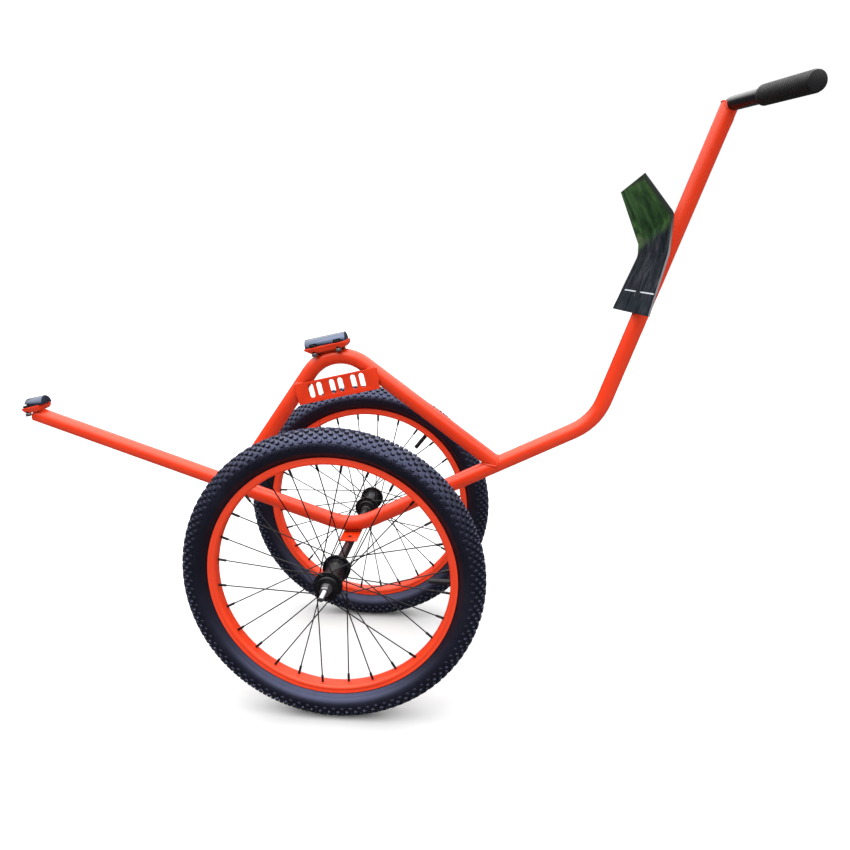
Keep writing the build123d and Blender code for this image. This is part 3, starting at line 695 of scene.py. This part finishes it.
tip = spot(-607, 223.4)
vertex = spot(0, 16.55)
handle_bend = spot(438.2, 231.6)
handle_dir = Vector((cos(HANDLE_RISE), 0, sin(HANDLE_RISE)))
handle_end = handle_bend + handle_dir * (spot(0, 749).z - handle_bend.z) / handle_dir.z
hump_left, hump_top, hump_right = spot(-226, 93.5), spot(-30, 371), spot(268, 148)
leg_left = (hump_left - hump_top).normalized()
leg_right = (hump_right - hump_top).normalized()
slope = Vector((cos(BED_TILT), 0, sin(BED_TILT)))
square = Vector((-slope.z, 0, slope.x))
to_hump_centre = HUMP_BEND / sin(leg_left.angle(leg_right) / 2)
hump_centre = hump_top + (leg_left + leg_right).normalized() * to_hump_centre
top_seat = hump_centre + square * (HUMP_BEND + TUBE_R)
tip_seat = spot(-602.4, 229.8)
brace_centre = spot(-19.6, 289.2, -14.0)
BRACE_HALF = (75.5 * MM, 19.25 * MM)
SEAT_WELD = (20 * MM, 14 * MM)  # reach of the weld under the top saddle, each way along its slope
PLATE_WELD_HALF = 15 * MM  # half length of the welds between axle plate and spine
BRACE_WELD = (6 * MM, 16 * MM)  # reach of the brace's end welds below its middle and along its top
AXLE_TUBE_WELDS = ((-50, -37), (-24, 24), (37, 50))  # from and to, in millimetres along the axle tube


def coped(start, leg, main, main_r):
    """The closed route where a frame tube's skin meets a main tube; start is where their lines cross."""
    across, up, leg = axes_of(leg, (0, 1, 0))
    main = Vector(main).normalized()
    leg_part = leg - main * leg.dot(main)
    route = []
    for step in range(COPE_STEPS):
        turn = tau * step / COPE_STEPS
        outward = across * cos(turn) + up * sin(turn)
        rim_part = outward * TUBE_R - main * outward.dot(main) * TUBE_R
        half_b = leg_part.dot(rim_part)
        inside = half_b**2 - leg_part.length_squared * (rim_part.length_squared - main_r**2)
        reach = (sqrt(max(inside, 0)) - half_b) / leg_part.length_squared
        route.append((start + outward * TUBE_R + leg * max(reach, 0), outward))
    return route


def mitred():
    """The open route round the spine's tip where the tip saddle cuts it."""
    run = (vertex - tip).normalized()
    upward = Vector((-run.z, 0, run.x))
    route = []
    for step in range(MITRE_STEPS + 1):
        turn = MITRE_REACH * (2 * step / MITRE_STEPS - 1)
        outward = Vector((0, sin(turn), 0)) + upward * cos(turn)
        skin = tip + outward * TUBE_R
        route.append((skin - run * (skin - tip_seat).dot(square) / run.dot(square), outward))
    return route


weld_parts = [
    bead(coped(hump_left, -leg_left, vertex - tip, TUBE_R), WELD_R, closed=True),
    bead(coped(hump_right, -leg_right, handle_bend - vertex, TUBE_R), WELD_R, closed=True),
    bead(coped(handle_end, -handle_dir, (0, 1, 0), BAR_R), WELD_R * 0.6, closed=True),
    bead(mitred(), WELD_R * 0.8),
]
for side in (-1, 1):
    sideways = Vector((0, side, 0))
    seat_edge = top_seat + sideways * TUBE_R * 0.5 - square * 1.5 * MM
    seat_run = straight(seat_edge - slope * SEAT_WELD[0], seat_edge + slope * SEAT_WELD[1], sideways)
    weld_parts.append(bead(seat_run, WELD_R))
    plate_edge = spot(0, 11.8) + sideways * TUBE_R * 0.42
    along_x = Vector((PLATE_WELD_HALF, 0, 0))
    weld_parts.append(bead(straight(plate_edge - along_x, plate_edge + along_x, sideways), WELD_R * 0.8))
    end_middle = brace_centre + slope * side * BRACE_HALF[0]
    top_corner = end_middle + square * BRACE_HALF[1]
    brace_end = straight(top_corner, end_middle - square * BRACE_WELD[0], slope * side)
    brace_top = straight(top_corner, top_corner - slope * side * BRACE_WELD[1], square)
    weld_parts += [bead(brace_end, WELD_R * 0.9), bead(brace_top, WELD_R * 0.9)]
    for first, last in AXLE_TUBE_WELDS:
        axle_run = straight(spot(side * 4.4, 7.4, first), spot(side * 4.4, 7.4, last), (side, 0, 0))
        weld_parts.append(bead(axle_run, WELD_R * 0.6))
weld_points, weld_faces = join(weld_parts)
piece_of("frame_welds", weld_points, weld_faces, frame_paint, "frame")


# ---- grips and axle --------------------------------------------------------------------------
def ribbed_grip(node):
    """A moulded grip: rounded ends and rings of shallow ribs."""
    start, end = line_of(node)
    length = (end - start).length / MM
    outline = [(0, 12.5), (0.6, 14.0), (2.0, 14.9)]
    for ring in range(20):
        foot = 7 + 5.4 * ring
        outline += [(foot, 14.9), (foot + 0.7, 14.1), (foot + 1.9, 14.1), (foot + 2.6, 14.9)]
    outline += [(length - 2.0, 14.9), (length - 0.6, 14.0), (length, 12.5)]
    return tapering([(place / length, radius * MM) for place, radius in outline], start, end, 40)


for side_name in SIDES:
    points, faces = ribbed_grip(f"{side_name}_grip")
    piece_of(
        f"{side_name}_ribbed_grip", points, faces, grip_rubber, "frame", [f"{side_name}_grip"]
    )

AXLE_HALF = 263.0
THREAD_START = 240.0
THREAD_PITCH = 1.25


def threaded_axle():
    """The through axle, with cut threads on its bare ends."""
    half = [(THREAD_START - 0.4, 5.0), (THREAD_START, 4.5)]
    turns = int((AXLE_HALF - 1.6 - THREAD_START) / THREAD_PITCH)
    for turn in range(turns):
        foot = THREAD_START + 0.3 + THREAD_PITCH * turn
        half += [(foot, 4.25), (foot + THREAD_PITCH * 0.5, 4.75)]
    half += [(AXLE_HALF - 1.0, 4.3), (AXLE_HALF, 3.6)]
    outline = [(-place, radius) for place, radius in reversed(half)] + half
    shares = [((place + AXLE_HALF) / (2 * AXLE_HALF), radius * MM) for place, radius in outline]
    return tapering(shares, spot(0, 0, -AXLE_HALF), spot(0, 0, AXLE_HALF))


points, faces = threaded_axle()
piece_of("threaded_axle", points, faces, axle_steel, "frame", ["axle_rod"])

# ---- stage, light and camera -------------------------------------------------------------------
FLOOR_HALF = 14.0
floor_mesh = bpy.data.meshes.new("floor")
floor_mesh.from_pydata(
    [(x * FLOOR_HALF, y * FLOOR_HALF, 0) for x, y in ((-1, -1), (1, -1), (1, 1), (-1, 1))], [], [(0, 1, 2, 3)]
)
floor = bpy.data.objects.new("floor", floor_mesh)
bpy.context.scene.collection.objects.link(floor)
floor_mesh.materials.append(Paint("floor_paint", (0.42, 0.42, 0.42), 0.9, Specular_IOR_Level=0.0).material)
floor.visible_glossy = False  # so that black and glossy pieces mirror the dim ground instead


SKY = 4.3  # brightness of the overhead dome, and of the dim walls round its foot
DIM_WALL = 0.12
DOME_FOOT = (0.30, 0.62)  # the heights on a unit sphere between which the walls turn into the dome
SEEN_WHITE = 1.02


def studio():
    """A bright soft dome over dim walls; the camera itself sees a plain white background."""
    world = bpy.data.worlds.new("studio")
    bpy.context.scene.world = world
    world.use_nodes = True
    tree = world.node_tree
    way = tree.nodes.new("ShaderNodeSeparateXYZ")
    tree.links.new(tree.nodes.new("ShaderNodeTexCoord").outputs["Generated"], way.inputs["Vector"])
    dome = tree.nodes.new("ShaderNodeMapRange")
    for name, value in zip(("From Min", "From Max", "To Min", "To Max"), (*DOME_FOOT, DIM_WALL, SKY)):
        dome.inputs[name].default_value = value
    tree.links.new(way.outputs["Z"], dome.inputs["Value"])
    strength = tree.nodes.new("ShaderNodeMix")
    strength.inputs["B"].default_value = SEEN_WHITE
    tree.links.new(tree.nodes.new("ShaderNodeLightPath").outputs["Is Camera Ray"], strength.inputs["Factor"])
    tree.links.new(dome.outputs["Result"], strength.inputs["A"])
    tree.links.new(strength.outputs["Result"], tree.nodes["Background"].inputs["Strength"])
    tree.nodes["Background"].inputs["Color"].default_value = (1.0, 1.0, 1.0, 1)


studio()

softbox_data = bpy.data.lights.new("softbox", "AREA")
softbox_data.shape = "DISK"
softbox_data.size = 2.6
softbox_data.energy = 40
softbox = bpy.data.objects.new("softbox", softbox_data)
softbox.location = (-0.8, -0.9, 3.4)
softbox.rotation_euler = (Vector((0, 0, 0.4)) - softbox.location).to_track_quat("-Z", "Y").to_euler()
bpy.context.scene.collection.objects.link(softbox)

CAMERA_FROM_AXLE = (0.258, -1.261, 0.525)
CAMERA_LENS = 30.5
CAMERA_TURN = (radians(76.384), 0, radians(5.498))
camera_data = bpy.data.cameras.new("camera")
camera_data.sensor_width = 36.0
camera_data.lens = CAMERA_LENS
camera = bpy.data.objects.new("camera", camera_data)
camera.location = AXLE + Vector(CAMERA_FROM_AXLE)
camera.rotation_euler = CAMERA_TURN
bpy.context.scene.collection.objects.link(camera)
bpy.context.scene.camera = camera
bpy.context.scene.view_settings.view_transform = "Standard"
